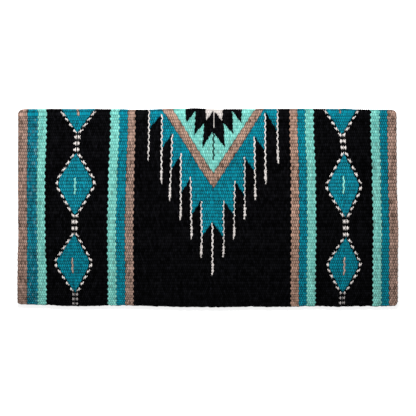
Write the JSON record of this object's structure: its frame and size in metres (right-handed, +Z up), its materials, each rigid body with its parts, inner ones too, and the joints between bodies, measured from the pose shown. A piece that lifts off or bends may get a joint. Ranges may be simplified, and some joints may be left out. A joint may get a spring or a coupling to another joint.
{
  "type": "saddle blanket",
  "caption": "Thick woven wool saddle blanket folded in half along the spine, with side bands, diamond chains and a stepped centre diamond.",
  "frame": {"origin": "middle of the folded blanket's underside, on the surface it lies on", "axes": "+X along the spine fold to the viewer's right, +Y from the hems to the spine fold, +Z up from the ground through both halves"},
  "size_m": [0.88, 0.4586, 0.0163],
  "materials": {
    "taupe_wool": "matt ribbed wool, heathered grey-brown",
    "teal_wool": "matt ribbed wool, deep turquoise",
    "mint_wool": "matt ribbed wool, pale green-blue",
    "black_wool": "matt ribbed wool, black",
    "white_wool": "matt ribbed wool, warm off-white",
    "undyed_warp_wool": "hard-spun undyed wool warp, hidden inside the cloth"
  },
  "bodies": {
    "back_half": {"back_black_figure": "black_wool", "back_centre_ground": "black_wool", "back_chevron": "taupe_wool", "back_inner_face": "black_wool", "back_left_fold_diamond": "teal_wool", "back_left_ground": "black_wool", "back_left_inner_mint": "mint_wool", "back_left_inner_taupe": "taupe_wool", "back_left_inner_teal": "teal_wool", "back_left_lower_diamond": "teal_wool", "back_left_outer_mint": "mint_wool", "back_left_outer_taupe": "taupe_wool", "back_left_outer_teal": "teal_wool", "back_left_upper_diamond": "teal_wool", "back_mint_field": "mint_wool", "back_right_fold_diamond": "teal_wool", "back_right_ground": "black_wool", "back_right_inner_mint": "mint_wool", "back_right_inner_taupe": "taupe_wool", "back_right_inner_teal": "teal_wool", "back_right_lower_diamond": "teal_wool", "back_right_outer_mint": "mint_wool", "back_right_outer_taupe": "taupe_wool", "back_right_outer_teal": "teal_wool", "back_right_upper_diamond": "teal_wool", "back_stepped_diamond": "teal_wool", "back_warp": "undyed_warp_wool", "back_white_core": "white_wool", "turn_inner_face": "black_wool", "turn_outer_face": "black_wool", "turn_warp": "undyed_warp_wool"},
    "front_half": {"front_black_figure": "black_wool", "front_centre_ground": "black_wool", "front_chevron": "taupe_wool", "front_inner_face": "black_wool", "front_left_fold_diamond": "teal_wool", "front_left_ground": "black_wool", "front_left_inner_mint": "mint_wool", "front_left_inner_taupe": "taupe_wool", "front_left_inner_teal": "teal_wool", "front_left_lower_diamond": "teal_wool", "front_left_outer_mint": "mint_wool", "front_left_outer_taupe": "taupe_wool", "front_left_outer_teal": "teal_wool", "front_left_upper_diamond": "teal_wool", "front_mint_field": "mint_wool", "front_right_fold_diamond": "teal_wool", "front_right_ground": "black_wool", "front_right_inner_mint": "mint_wool", "front_right_inner_taupe": "taupe_wool", "front_right_inner_teal": "teal_wool", "front_right_lower_diamond": "teal_wool", "front_right_outer_mint": "mint_wool", "front_right_outer_taupe": "taupe_wool", "front_right_outer_teal": "teal_wool", "front_right_upper_diamond": "teal_wool", "front_stepped_diamond": "teal_wool", "front_warp": "undyed_warp_wool", "front_white_core": "white_wool"}
  },
  "joints": [
    {"name": "spine_fold", "type": "hinge", "parent": "back_half", "child": "front_half", "pos_m": [0, 0.221, 0.00815], "axis": [-1, 0, 0], "range_deg": [0, 180], "deforming": ["turn_outer_face", "turn_inner_face", "turn_warp"]}
  ]
}
